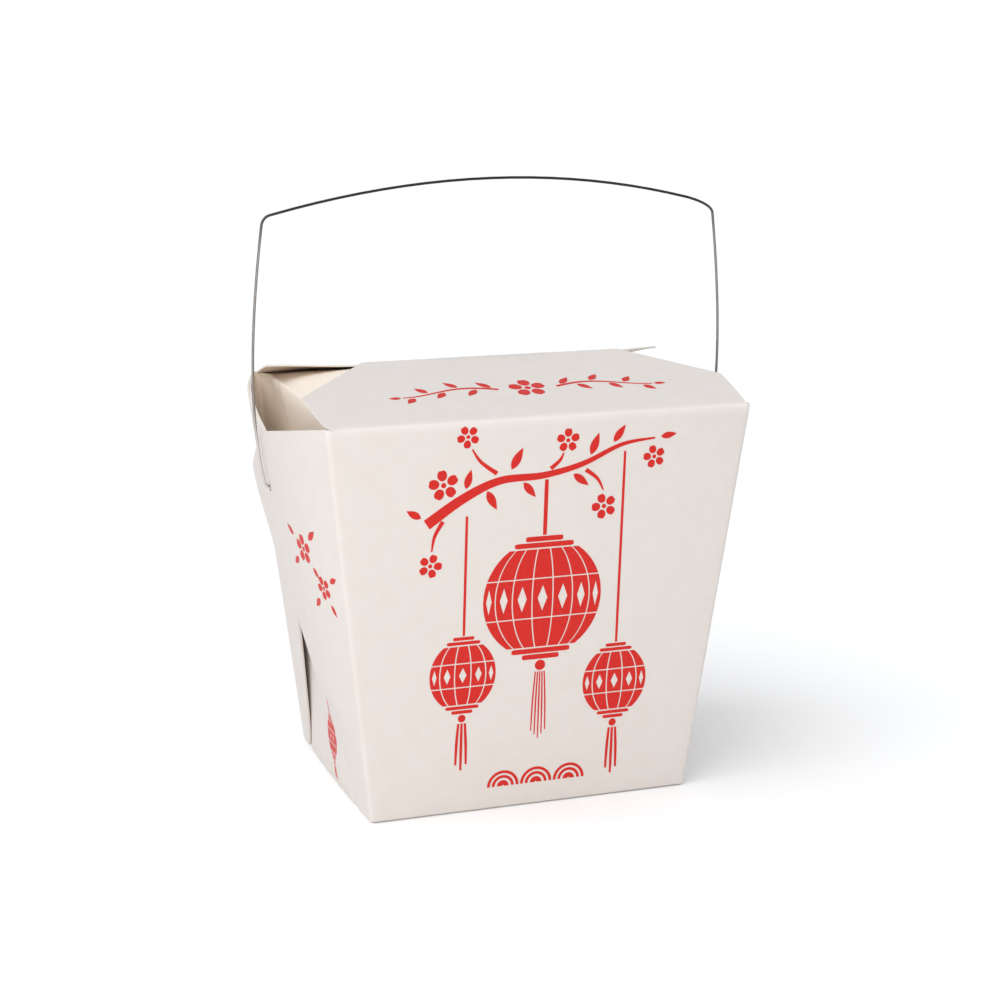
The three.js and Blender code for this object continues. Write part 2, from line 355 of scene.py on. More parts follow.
# the folded board: the outer face of the sheet is laid out first, and its thickness comes last
pail = {"bottomWidth": 92, "bottomDepth": 71, "topWidth": 118, "topDepth": 84, "height": 110, "board": 0.5,
        "cornerRadius": 1.2, "footRadius": 0.8, "foldRadius": 0.7, "bottomOverlap": 0.15, "bottomLow": 0.02,
        "bottomPress": 0.4, "wallRows": 36, "lowRows": (0, 0.0012, 0.0036, 0.0075), "joinWithin": 0.02}
# in a pair, something begins at the first number and is whole at the second: Heights are in millimetres,
# and Across is a share of the side's half depth, -1 at one corner and 1 at the other
narrowSide = {"leanIn": 3.5, "leanHeights": (55, 100), "leanAcross": (-1, -0.15), "leanEndAcross": (0.8, 1),
              "bow": 0.8, "tuck": 1.3, "tuckHeights": (2, 20), "freeHeights": (55, 90), "wrap": 5.0,
              "footBow": 0.7, "footBowTop": 30, "backInAcross": (0.7, 1), "pocketBounceHeights": (60, 80),
              "crest": 0.9, "crestPower": 10, "crestEnd": 38.9, "columns": 32}
# a crease slants over the upper part of the side, pressed in along a score, and the panel turns a little
# behind it; high up a dark painted shadow line runs along it
crease = {"share": 0.77, "steps": (-0.016, -0.007, 0, 0.007, 0.016), "clear": 0.02, "scoreShadowFrom": 84,
          "top": 107.5, "slant": 0.8, "slantHeights": (55, 88), "turn": 0.5, "turnWidth": 0.008,
          "turnHeights": (84, 97), "turnEndHeights": (103, 109), "turnEndShares": (0.88, 0.97)}
# each cut of the web's free edge is a straight line: its distance from the corner's foot, and its angle
web = {"bow": 8.4, "bowHeight": 105, "bowPower": 1.3, "thickness": 1.04, "gap": 0.08, "loopStart": 0.03,
       "longCut": (106.65, 11.2), "tipCut": (104.7, 30.4), "cutBlend": 0.8,
       "insetAcross": (-0.95, -0.3), "insetHeights": (42, 60),
       "liftAcross": (0.1, 0.75), "liftHeights": (60, 85),
       "cornerIn": 1.0, "cornerInHeights": (75, 110), "cornerInAcross": (-1, -0.7),
       "pressShares": (0.3, 1), "pressHeights": (46, 66), "touchHeights": (20, 33), "pocketBounceShares": (0.5, 1),
       "front": {"footWidth": 10.5, "foldAngle": 36.7, "inset": 0, "tipLift": 1.7, "foldOut": (0.57, 0.066)},
       "back": {"footWidth": 6.25, "foldAngle": 26.5, "inset": 1.3, "tipLift": 0, "foldOut": (-0.2, 0.066)}}


def halfWidth(z):
    return mix(pail["bottomWidth"], pail["topWidth"], z / pail["height"]) / 2


def halfDepth(z):
    return mix(pail["bottomDepth"], pail["topDepth"], z / pail["height"]) / 2


def rowShare(row):
    # the lowest rows lie close together, to round the bottom fold
    lowRows = pail["lowRows"]
    if row < len(lowRows):
        return lowRows[row]
    return mix(lowRows[-1], 1, (row - len(lowRows) + 1) / (pail["wallRows"] - len(lowRows) + 1))


def footInset(z):
    radius = pail["footRadius"]
    return radius - math.sqrt(radius ** 2 - (radius - z) ** 2) if z < radius else 0


def cornerIn(end, z):
    # the back corners lean inwards a little at the top
    return web["cornerIn"] * ease(*web["cornerInHeights"], z) if end == "back" else 0


def underWeb(end, y, z):
    # 1 where this end's web lies over the narrow panel, easing to 0 just past its folded edge
    foot = web[end]["footWidth"] - pail["bottomDepth"] / 2
    foldLine = foot + z * math.tan(math.radians(web[end]["foldAngle"]))
    return 1 - ease(0, narrowSide["wrap"], y - foldLine)


def footBow(y, z):
    return narrowSide["footBow"] * (1 - (y / halfDepth(z)) ** 2) * (1 - ease(0, narrowSide["footBowTop"], z))


def panelOut(y, z):
    # how far the narrow panel stands out from the straight side; it lies behind the webs' double board
    across = y / halfDepth(z)
    lean = (ease(*narrowSide["leanAcross"], across) * (1 - ease(*narrowSide["leanEndAcross"], across))
            * ease(*narrowSide["leanHeights"], z))
    bow = math.sin(math.pi * z / pail["height"]) * (1 - across ** 2)
    covered = max(underWeb("front", y, z), underWeb("back", -y, z))
    tuck = mix(mix(covered, 1, ease(*narrowSide["tuckHeights"], z)), across ** 4,
               ease(*narrowSide["freeHeights"], z))
    return (narrowSide["bow"] * bow - narrowSide["leanIn"] * lean - narrowSide["tuck"] * tuck
            + footBow(y, z) - cornerIn("back", z) * ease(*narrowSide["backInAcross"], across))


def webPlan(v, w, end):
    # v runs from the corner to the folded edge, w from the foot to the cut edge
    cornerLean = -math.atan((pail["topDepth"] - pail["bottomDepth"]) / 2 / pail["height"])
    angle = mix(cornerLean, math.radians(web[end]["foldAngle"]), v)
    cuts = [distance / math.cos(angle - math.radians(turn))
            for distance, turn in (web["longCut"], web["tipCut"])]
    gap = abs(cuts[0] - cuts[1]) / web["cutBlend"]
    reach = min(cuts) - web["cutBlend"] * math.log(1 + math.exp(-gap)) / 2
    footY = mix(pail["cornerRadius"], web[end]["footWidth"], v)
    topY = reach * math.sin(angle) + pail["cornerRadius"] * (1 - v)
    return mix(footY, topY, w) - pail["bottomDepth"] / 2, reach * math.cos(angle) * w


def webOut(v, w, end):
    y, z = webPlan(v, w, end)
    across = max(min(y / halfDepth(z), 1), -1)
    bow = web["bow"] * (1 - (1 - min(z / web["bowHeight"], 1)) ** web["bowPower"]) * (1 - across ** 2)
    under = web[end]["inset"] * ease(*web["insetAcross"], across) * ease(*web["insetHeights"], z)
    lift = web[end]["tipLift"] * ease(*web["liftAcross"], across) * ease(*web["liftHeights"], z)
    corner = cornerIn(end, z) * (1 - ease(*web["cornerInAcross"], across))
    free = bow - under + lift - corner
    # low down the folded edge is pressed towards the panel, and the front one touches it at the foot
    touching = panelOut(towards(end, y), z) + web["thickness"] + web["gap"]
    start, rise = web[end]["foldOut"]
    pressed = max(start + rise * z, touching)
    if end == "front":
        pressed = mix(touching, pressed, ease(*web["touchHeights"], z))
    out = mix(free, pressed, ease(*web["pressShares"], v) * (1 - ease(*web["pressHeights"], z)))
    if z < narrowSide["footBowTop"]:
        out = max(out, footBow(y, z))
    return out - footInset(z)


def towards(end, y):
    # a depth counted towards this end's corner is negative; the back is the mirror image
    return y if end == "front" else -y


def onSide(y, z, out):
    return -(halfWidth(z) + out), y, z


def broadPanel(end):
    columns = 15

    def place(column, row):
        z = pail["height"] * rowShare(row)
        x = -(halfWidth(z) - cornerIn(end, z) - pail["cornerRadius"]) * column / columns
        return x, towards(end, footInset(z) - halfDepth(z)), z
    return gridSheet(end + "Panel", columns, pail["wallRows"], place)


def cornerFold(end):
    columns = 6

    def place(column, row):
        z = pail["height"] * rowShare(row)
        radius = pail["cornerRadius"]
        turn = math.radians(90) * column / columns
        panelEnd = halfWidth(z) - cornerIn(end, z) - radius
        webStart = halfWidth(z) + webOut(0, rowShare(row), end)
        y = radius - halfDepth(z) - (radius - footInset(z)) * math.cos(turn)
        return -mix(panelEnd, webStart, math.sin(turn)), towards(end, y), z
    return gridSheet(end + "Corner", columns, pail["wallRows"], place)


def webLayer(end, name, startShare, endShare, under):
    # one of the web's two layers: the outer one, or the inner one that lies a thickness under it
    columns = 24

    def place(column, row):
        v, w = mix(startShare, endShare, column / columns), rowShare(row)
        y, z = webPlan(v, w, end)
        return onSide(towards(end, y), z, webOut(v, w, end) - under)
    # the inner layer gets painted warm bounce light
    return gridSheet(end + name, columns, pail["wallRows"], place, lambda column, row: 1 if under else 0)


def webFold(end):
    # the pressed edge, where the sheet turns back on itself
    columns = 6

    def place(column, row):
        w = rowShare(row)
        y, z = webPlan(1, w, end)
        turn = math.pi * column / columns
        radius = web["thickness"] / 2
        lean = math.radians(web[end]["foldAngle"])
        y += radius * math.sin(turn) * math.cos(lean)
        z -= radius * math.sin(turn) * math.sin(lean) * ease(0, 0.05, w)
        return onSide(towards(end, y), z, webOut(1, w, end) - radius * (1 - math.cos(turn)))
    # the inner half of the fold gets painted warm bounce light
    return gridSheet(end + "WebFold", columns, pail["wallRows"], place,
                     lambda column, row: ease(*web["pocketBounceShares"], column / columns))


def loopStart(end, w):
    # where the inner layer of the web ends and the narrow panel begins
    y, z = webPlan(web["loopStart"], w, end)
    return towards(end, y), z, webOut(web["loopStart"], w, end) - web["thickness"]


def cornerLoop(end):
    columns = 8

    def place(column, row):
        w = rowShare(row)
        y, z, webFace = loopStart(end, w)
        height = pail["height"] * w
        panelFace = panelOut(y, height) - footInset(height)
        turn = math.pi * column / columns
        middle, radius = (webFace + panelFace) / 2, (webFace - panelFace) / 2
        y += towards(end, -abs(radius) * math.sin(turn))
        return onSide(y, mix(z, height, column / columns), middle + radius * math.cos(turn))
    # the loop gets painted warm bounce light
    return gridSheet(end + "Loop", columns, pail["wallRows"], place, lambda column, row: 1)


def panelShares():
    # even columns, with close ones around the slanting crease
    columns = narrowSide["columns"]
    even = [i / columns for i in range(columns + 1) if abs(i / columns - crease["share"]) > crease["clear"]]
    return sorted(even + [crease["share"] + step for step in crease["steps"]])


def panelPoint(share, w):
    z = pail["height"] * w
    y = mix(loopStart("front", w)[0], loopStart("back", w)[0], share)
    at = crease["share"]
    slant = -crease["slant"] * max(crease["top"] - z, 0) * ease(*crease["slantHeights"], z)
    y += slant * (share / at if share < at else (1 - share) / (1 - at))
    turn = crease["turn"] * ease(*crease["turnHeights"], z) * (1 - ease(*crease["turnEndHeights"], z))
    turn *= ease(0, crease["turnWidth"], share - at) * (1 - ease(*crease["turnEndShares"], share))
    out = panelOut(y, z) - footInset(z) - turn
    crest = narrowSide["crest"] * (1 - (y / halfDepth(z)) ** 2) * w ** narrowSide["crestPower"]
    return onSide(y, z, out), crest


def narrowPanel():
    shares = panelShares()

    def place(column, row):
        (x, y, z), crest = panelPoint(shares[column], rowShare(row))
        return x, y, z + crest

    # painted warm bounce light on the panel's upper part, in the shaded pocket, and a dark painted shadow
    # line along the score line
    def paintedLightAt(column, row):
        z = pail["height"] * rowShare(row)
        if shares[column] == crease["share"] and crease["scoreShadowFrom"] < z < pail["height"]:
            return 2
        return ease(*narrowSide["pocketBounceHeights"], z)
    return gridSheet("narrowPanel", len(shares) - 1, pail["wallRows"], place, paintedLightAt)


# the lid flaps, the tongue that goes over the ridge, and the dust flaps; the back flap curls at its corners
lid = {"slope": 0.215, "cornerOut": {"front": 1.0, "back": -0.4}, "cornerAt": 21, "ridgeHalf": 37.5,
       "backLower": 0.62, "backCurl": 1.6, "rightCurlLess": 0.75, "curlFromMiddle": (35, 60),
       "curlFromFold": (0, 21), "columns": 15, "flapRows": 14, "tongueRows": 8, "tongueColumns": 7,
       "tongueLength": 9.0, "tongueTaper": 3, "tongueDrop": 1.3, "dropShares": (0.55, 1),
       "tongueHump": 0.1, "humpPace": 1.6, "dustRows": 12, "dustRowPower": 1.25, "dustReach": 30,
       "dustTaper": 0.16, "taperFrom": (3, 42), "dustRise": 0.5, "riseFrom": (0, 4), "dustUnder": 0.85}


def flapHalfWidth(fromFold, end):
    depth = pail["topDepth"] / 2
    foldHalf = pail["topWidth"] / 2 - pail["cornerRadius"] - cornerIn(end, pail["height"])
    cornerHalf = pail["topWidth"] / 2 + lid["cornerOut"][end]
    toCorner = depth - lid["cornerAt"]
    if fromFold <= toCorner:
        return mix(foldHalf, cornerHalf, (fromFold / toCorner) ** 0.5)
    return mix(cornerHalf, lid["ridgeHalf"], (fromFold - toCorner) / (depth - toCorner))


def lidFlap(end):
    columns, rows = lid["columns"], lid["flapRows"]
    depth = pail["topDepth"] / 2
    tongueRows = lid["tongueRows"] if end == "front" else 0
    tongueHalf = lid["ridgeHalf"] * lid["tongueColumns"] / columns

    def place(column, row):
        if row > rows:
            past = (row - rows) / tongueRows
            half = tongueHalf - lid["tongueTaper"] * past ** 2
            x = -half * column / lid["tongueColumns"]
            y = lid["tongueLength"] * past
            drop = lid["slope"] * y + lid["tongueDrop"] * ease(*lid["dropShares"], past)
            hump = lid["tongueHump"] * math.sin(math.pi * min(past * lid["humpPace"], 1))
            return x, y, pail["height"] + lid["slope"] * depth - drop + hump
        fromFold = depth * row / rows
        x = -flapHalfWidth(fromFold, end) * column / columns
        z = pail["height"] + lid["slope"] * fromFold
        if end == "back":
            curl = lid["backCurl"] * ease(*lid["curlFromMiddle"], -x) * ease(*lid["curlFromFold"], fromFold)
            z += curl - lid["backLower"] * ease(0, depth, fromFold)
        return x, towards(end, fromFold - depth), z
    flap = gridSheet(end + "Flap", columns, rows + tongueRows, place)
    if end == "front":
        # only the tongue goes on past the ridge
        editSelected(flap, "FACE", lambda face: face.calc_center_median().y > 0
                     and -face.calc_center_median().x > tongueHalf * mm * 1.01)
        bpy.ops.mesh.delete(type="FACE")
        leaveEditMode()
    return flap


def dustFlap():
    shares = panelShares()
    rows = lid["dustRows"]
    depth = pail["topDepth"] / 2

    def place(column, row):
        (x, y, z), crest = panelPoint(shares[column], 1)
        inward = lid["dustReach"] * (row / rows) ** lid["dustRowPower"]
        y *= 1 - lid["dustTaper"] * ease(*lid["taperFrom"], inward)
        # it springs up until it lies against the undersides of both lid flaps
        ceiling = lid["slope"] * (depth - abs(y)) - lid["dustUnder"]
        if y > 0:
            ceiling -= lid["backLower"] * ease(0, depth, depth - y)
        rise = -math.log(math.exp(-crest - lid["dustRise"] * inward) + math.exp(-ceiling))
        return x + inward, y, z + mix(crest, rise, ease(*lid["riseFrom"], inward))
    # the whole dust flap gets painted warm bounce light, as it lies in the shade under the lid
    return gridSheet("dustFlap", len(shares) - 1, rows, place, lambda column, row: 1)


def bottomPanel():
    columns, rows = 12, 16
    reach = pail["footRadius"] - pail["bottomOverlap"]

    def place(column, row):
        x = -(pail["bottomWidth"] / 2 - reach) * column / columns
        y = (pail["bottomDepth"] / 2 - reach) * (2 * row / rows - 1)
        # the middle is pressed up a little, so the box stands on its folds
        press = math.sin(math.pi * row / rows) * math.cos(math.pi / 2 * column / columns)
        return x, y, pail["bottomLow"] + pail["bottomPress"] * press
    return gridSheet("bottomPanel", columns, rows, place)


# how far the coating's cracking and the painted fold highlight reach from a pressed fold, and how strong they
# are at the corners and the foot
foldWearAndHighlightSpread = {"reach": 2.2, "corners": 0.4, "footFromX": 44, "footFromY": 34}


def markFoldWearAndHighlight(piece):
    # how near a point lies to a pressed fold, from 0 to 1, which sets the fold's wear and painted highlight
    wear = piece.data.attributes.new("fold", "FLOAT", "POINT")
    height = pail["height"]
    for vertex in piece.data.vertices:
        x, y, z = (abs(c) / mm for c in vertex.co)
        lidFold = math.hypot(z - height, y - pail["topDepth"] / 2)
        level = min(z, height)
        corner = math.hypot(max(halfWidth(level) - x, 0), max(halfDepth(level) - y, 0))
        if x > foldWearAndHighlightSpread["footFromX"] or y > foldWearAndHighlightSpread["footFromY"]:
            corner = min(corner, z)
        wear.data[vertex.index].value = max(0.0, 1 - lidFold / foldWearAndHighlightSpread["reach"],
                                            foldWearAndHighlightSpread["corners"] * (1 - corner / foldWearAndHighlightSpread["reach"]))


def foldCarton():
    sheets = [narrowPanel(), dustFlap(), bottomPanel()]
    for end in ("front", "back"):
        sheets += [broadPanel(end), cornerFold(end), webLayer(end, "WebOuter", 0, 1, 0), webFold(end),
                   webLayer(end, "WebInner", 1, web["loopStart"], web["thickness"]), cornerLoop(end),
                   lidFlap(end)]
    pick(*sheets)
    bpy.ops.object.join()
    folded = bpy.context.object
    folded.name = "foldedCarton"
    editAll(folded)
    bpy.ops.mesh.remove_doubles(threshold=pail["joinWithin"] * mm)
    leaveEditMode()
    applyModifier(folded, "MIRROR", merge_threshold=pail["joinWithin"] * mm)
    recalculateNormals(folded)
    # the back flap's right corner is pressed down flatter than its left one
    for vertex in folded.data.vertices:
        x, y, z = (c / mm for c in vertex.co)
        fromFold = pail["topDepth"] / 2 - y
        if y > 0 and z > pail["height"] + lid["slope"] * fromFold - lid["dustUnder"] / 2:
            curl = ease(*lid["curlFromMiddle"], x) * ease(*lid["curlFromFold"], fromFold)
            vertex.co.z -= lid["rightCurlLess"] * curl * mm
    # the bottom is a sheet of its own, and its outer face is the lower one
    bottomTop = 0.6 * mm
    editSelected(folded, "FACE", lambda face: face.calc_center_median().z < bottomTop and face.normal.z > 0.7)
    bpy.ops.mesh.flip_normals()
    leaveEditMode()
    return folded


def roundFold(piece, isFold):
    editSelected(piece, "EDGE", lambda edge: all(isFold(*(vertex.co / mm)) for vertex in edge.verts))
    bpy.ops.mesh.bevel(offset=pail["foldRadius"] * mm, segments=3, affect="EDGES")
    leaveEditMode()


def isNear(value, aim, within=0.05):
    return abs(value - aim) < within


def onLidFold(x, y, z):
    return isNear(z, pail["height"]) and isNear(abs(y), pail["topDepth"] / 2)


def onCrest(x, y, z):
    height, crest = pail["height"], narrowSide["crest"]
    return (isNear(z, height + crest / 2, within=crest) and abs(y) < narrowSide["crestEnd"]
            and isNear(abs(x), halfWidth(height) + panelOut(y, height)))


# one hole is punched through all the layers of each narrow side, for the wire's hooks
hole = {"radius": 1.15, "height": 86, "from": 48, "to": 76, "sides": 24}


def punchHole(piece, side):
    middle = Vector((side * (hole["from"] + hole["to"]) / 2, 0, hole["height"]))
    deselectAll()
    bpy.ops.mesh.primitive_cylinder_add(vertices=hole["sides"], radius=hole["radius"] * mm,
                                        depth=(hole["to"] - hole["from"]) * mm, location=middle * mm,
                                        rotation=(0, math.pi / 2, 0))
    punch = bpy.context.object
    applyModifier(piece, "BOOLEAN", object=punch, operation="DIFFERENCE", solver="FAST")
    bpy.data.objects.remove(punch)


carton = foldCarton()
print("blank folded:", len(carton.data.polygons), "faces")
roundFold(carton, onLidFold)
roundFold(carton, onCrest)
markFoldWearAndHighlight(carton)
for material in (boardMaterial, edgeMaterial, foodSideMaterial):
    carton.data.materials.append(material)
applyModifier(carton, "SOLIDIFY", thickness=pail["board"] * mm, offset=-1, material_offset_rim=1,
              material_offset=2)
for side in (-1, 1):
    punchHole(carton, side)
print("holes punched:", len(carton.data.polygons), "faces")
# nothing reaches below the floor
for vertex in carton.data.vertices:
    vertex.co.z = max(vertex.co.z, 0)
pick(carton)
bpy.ops.object.shade_smooth_by_angle(angle=math.radians(35))
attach(carton, "carton")
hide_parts("carton")
print("carton made:", len(carton.data.polygons), "faces")

# the printing: lanterns on a blossom branch, blossoms and leaf sprigs, cut up like a stencil in one red ink;
# each is laid out flat in millimetres as closed outlines, where an outline inside another is a hole
printing = {"inkLift": 0.03, "inkThickness": 0.06, "cutEvery": 2.0, "seam": 0.36}
# a blossom is (x, y, radius, turn) and a leaf is (x, y, length, width, turn)
branch = {"line": [(-32, 83), (-22, 89.5), (-12, 93.6), (0, 94.2), (11, 96.6), (22, 101.2), (31.5, 102.4)],
          "widths": [3.0, 2.6, 2.1, 1.8, 1.5, 1.1, 0.5], "twigWidths": [1.2, 0.9, 0.4],
          "twigs": [[(-13, 95.6), (-17.5, 99), (-20, 102.6)], [(12, 94.9), (15.4, 92.2), (17.2, 88.9)],
                    [(-27.6, 83.6), (-29.8, 79.6), (-30.5, 75.5)], [(2, 95.9), (4.5, 98), (5.5, 100)]],
          "blossoms": [(-27.6, 93.4, 4.3, 10), (-21.2, 106, 3.2, 30), (6.6, 103.3, 3.4, 0),
                       (17.6, 84.4, 3.7, 20), (-30.8, 71.6, 3.4, 50), (31.5, 97.2, 3.3, 15)],
          "leaves": [(-9, 96.4, 6.5, 2.4, 62), (-15.6, 91, 6, 2.3, -62), (-5.5, 92.6, 5.5, 2.1, -50),
                     (13.2, 98.9, 6.3, 2.3, 70), (8.5, 94, 5.6, 2.1, -38), (19.6, 102, 5.6, 2.1, 55),
                     (33.2, 102.6, 4.6, 1.8, 8), (-21.5, 92, 5.4, 2.1, 75), (-33.6, 84.9, 4.6, 2.0, 150)]}
waves = {"centers": (-8.6, 1, 10.6), "base": 6.4, "rings": ((4.6, 3.8), (3.2, 2.4), (1.7, 0.3)), "steps": 12}
lidSprig = {"blossom": (2, -23, 5.4), "reach": (8.3, 35.5), "rise": 1.9, "stemWidths": (1.0, 0.45),
            "steps": 8, "leaves": 6, "firstLeaf": 0.35, "leaf": (5.2, 2.1), "leafTurn": 48, "leafOff": 0.95,
            "lastLeaf": 0.75, "tip": (3.4, 1.5), "tipGap": 0.6}
# on the narrow sides the first number is minus the depth, so it grows towards the front
sideSprig = {"blossoms": [(20, 73.6, 4.2, 0), (28.6, 64.8, 3.4, 25)],
             "leaves": [(24.2, 69.4, 3.6, 1.6, -44), (14.9, 76.4, 4.4, 1.8, 150), (15.4, 70.2, 4.6, 1.8, 214),
                        (24.4, 77.2, 5.2, 1.9, 38), (32.6, 67.4, 3.8, 1.6, 28), (25.0, 61.0, 4.4, 1.8, 222),
                        (31.2, 60.8, 3.6, 1.5, -52)]}


def turned(outline, x, y, turn):
    c, s = math.cos(math.radians(turn)), math.sin(math.radians(turn))
    return [(x + c * a - s * b, y + s * a + c * b) for a, b in outline]


def smoothLine(points, steps=7):
    # a line through the points that bends evenly; each point may carry further numbers
    padded = [points[0], *points, points[-1]]
    line = []
    for group in zip(padded, padded[1:], padded[2:], padded[3:]):
        for i in range(steps):
            t = i / steps
            line.append([0.5 * (2 * b + (c - a) * t + (2 * a - 5 * b + 4 * c - d) * t ** 2
                                + (3 * b - a - 3 * c + d) * t ** 3) for a, b, c, d in zip(*group)])
    return line + [points[-1]]


def brushStroke(points, widths):
    line = smoothLine([(x, y, width) for (x, y), width in zip(points, widths)])
    left, right = [], []
    for i, (x, y, width) in enumerate(line):
        before, after = line[max(i - 1, 0)], line[min(i + 1, len(line) - 1)]
        along = Vector((after[0] - before[0], after[1] - before[1])).normalized() * width / 2
        left.append((x - along.y, y + along.x))
        right.append((x + along.y, y - along.x))
    return left + right[::-1]


def disc(x, y, halfAcross, halfUp, steps=18):
    return [(x + halfAcross * math.cos(math.tau * i / steps), y + halfUp * math.sin(math.tau * i / steps))
            for i in range(steps)]


def bar(x, y, across, up):
    return [(x + across / 2 * a, y + up / 2 * b) for a, b in ((-1, -0.7), (-0.9, -1), (0.9, -1), (1, -0.7),
                                                             (1, 0.7), (0.9, 1), (-0.9, 1), (-1, 0.7))]


def leaf(x, y, length, width, turn):
    side = [(length * i / 8, width / 2 * math.sin(math.pi * (i / 8) ** 0.8)) for i in range(9)]
    return turned(side + [(a, -b) for a, b in reversed(side[1:-1])], x, y, turn)


# five notched petals round a dot, as shares of the blossom's radius
petal = {"dot": 0.17, "middle": 0.64, "halfLength": 0.36, "halfWidth": 0.31, "notch": 0.2, "notchTurn": 0.35}


def blossom(x, y, radius, turn=0):
    shapes = [disc(x, y, petal["dot"] * radius, petal["dot"] * radius, 12)]
    for number in range(5):
        outline = []
        for i in range(20):
            angle = math.tau * i / 20
            off = min(angle, math.tau - angle)
            pull = 1 - petal["notch"] * math.exp(-(off / petal["notchTurn"]) ** 2)
            outline.append(((petal["middle"] + petal["halfLength"] * pull * math.cos(angle)) * radius,
                            petal["halfWidth"] * pull * math.sin(angle) * radius))
        shapes.append(turned(outline, x, y, turn + 90 + 72 * number))
    return shapes


# a lantern's cord starts at y = cord and its tassel ends at y = tassel; its body is drawn in gores and bands
bigLantern = {"at": (1, 60), "half": (17, 14), "gores": 7, "cord": 93.0, "tassel": 19.5, "knot": 1.5,
              "strands": 5}
smallLantern = {"half": (9.5, 8.5), "gores": 5, "knot": 1.1, "strands": 3}
frontLanterns = [bigLantern, {**smallLantern, "at": (-21, 40), "cord": 84.5, "tassel": 12.5},
                 {**smallLantern, "at": (23, 34), "cord": 99.3, "tassel": 6.5}]
sideLantern = {"at": (2.2, 13.2), "half": (4.5, 4.3), "gores": 4, "cord": 25, "tassel": 1.8, "knot": 0.6,
               "strands": 3, "lean": 16}
# shares of half its height or width; in a pair, the second number is added in millimetres
paperBody = {"goreTurn": 62, "bulge": 0.82, "bands": ((-1, -0.4), (-0.4, 0.4), (0.4, 1)), "diamondUp": 0.26,
             "diamondAcross": 0.5, "narrowest": 0.9, "bars": (0.98, 0.62), "barHeight": (0.085, 0.2),
             "barGap": 0.7, "capGap": 2.6, "cordWidth": (0.05, 0.25)}
# shares of the knot's radius, then of a strand's length and width
tassel = {"top": 0.85, "foot": 1.35, "gap": 0.8, "shorter": 0.12, "bend": (0.7, 0.5), "widths": (1, 1.2, 0.9)}


def lanternBody(x, y, halfAcross, halfUp, gores):
    seam, goreTurn = printing["seam"], paperBody["goreTurn"]

    def edge(turn, height, side):
        bulge = math.sqrt(1 - (paperBody["bulge"] * height) ** 2)
        return (x + halfAcross * bulge * math.sin(math.radians(turn)) / math.sin(math.radians(goreTurn))
                + side * seam / 2, y + halfUp * height)
    shapes = []
    for low, high in paperBody["bands"]:
        inset = seam / 2 / halfUp
        heights = [mix(low + inset, high - inset, i / 6) for i in range(7)]
        for gore in range(gores):
            left, right = (mix(-goreTurn, goreTurn, (gore + side) / gores) for side in (0, 1))
            shapes.append([edge(left, h, 1) for h in heights] + [edge(right, h, -1) for h in heights[::-1]])
            (x0, _), (x1, _) = edge(left, 0, 1), edge(right, 0, -1)
            middle, across = (x0 + x1) / 2, (x1 - x0) / 2
            if low < 0 < high and across > paperBody["narrowest"]:
                # a diamond is left out of each broad gore's middle band
                up, half = paperBody["diamondUp"] * halfUp, paperBody["diamondAcross"] * across
                shapes.append([(middle, y - up), (middle + half, y), (middle, y + up), (middle - half, y)])
    return shapes


def lantern(look):
    (x, y), (halfAcross, halfUp) = look["at"], look["half"]
    seam, knot, lastStrand = printing["seam"], look["knot"], look["strands"] - 1
    shapes = lanternBody(x, y, halfAcross, halfUp, look["gores"])
    share, least = paperBody["barHeight"]
    barUp = share * halfUp + least
    for end in (1, -1):
        for step, across in enumerate(paperBody["bars"]):
            level = y + end * (halfUp + (step + 0.5) * barUp + (step + paperBody["barGap"]) * seam)
            shapes.append(bar(x, level, halfAcross * across, barUp))
    capTop, capFoot = (y + end * (halfUp + 2 * barUp + paperBody["capGap"] * seam) for end in (1, -1))
    share, least = paperBody["cordWidth"]
    shapes.append(bar(x, (look["cord"] + capTop) / 2, share * halfAcross + least, look["cord"] - capTop))
    shapes.append(disc(x, capFoot - knot, knot, knot, 14))
    skirtTop = capFoot - 2 * knot - seam
    width = 2 * tassel["top"] * knot / lastStrand - tassel["gap"] * seam
    for i in range(look["strands"]):
        share = 2 * i / lastStrand - 1
        top, foot = x + share * tassel["top"] * knot, x + share * tassel["foot"] * knot
        end = mix(look["tassel"], skirtTop, tassel["shorter"] * abs(share))
        bend = mix(top, foot, tassel["bend"][0]), mix(skirtTop, end, tassel["bend"][1])
        shapes.append(brushStroke([(top, skirtTop), bend, (foot, end)],
                                  [width * wider for wider in tassel["widths"]]))
    if "lean" in look:
        lean = math.tan(math.radians(look["lean"]))
        shapes = [[(a + (y - b) * lean, b) for a, b in shape] for shape in shapes]
    return shapes


def frontDesign():
    shapes = [shape for look in frontLanterns for shape in lantern(look)]
    shapes.append(brushStroke(branch["line"], branch["widths"]))
    for twig in branch["twigs"]:
        shapes.append(brushStroke(twig, branch["twigWidths"]))
    for place in branch["blossoms"]:
        shapes += blossom(*place)
    shapes += [leaf(*place) for place in branch["leaves"]]
    base, steps = waves["base"], waves["steps"]
    turns = [math.pi * i / steps for i in range(steps + 1)]
    for x in waves["centers"]:
        for ring in waves["rings"]:
            outer, inner = [[(x + radius * math.cos(turn), base + radius * math.sin(turn))
                             for turn in turns] for radius in ring]
            shapes.append(outer + inner[::-1])
    return shapes


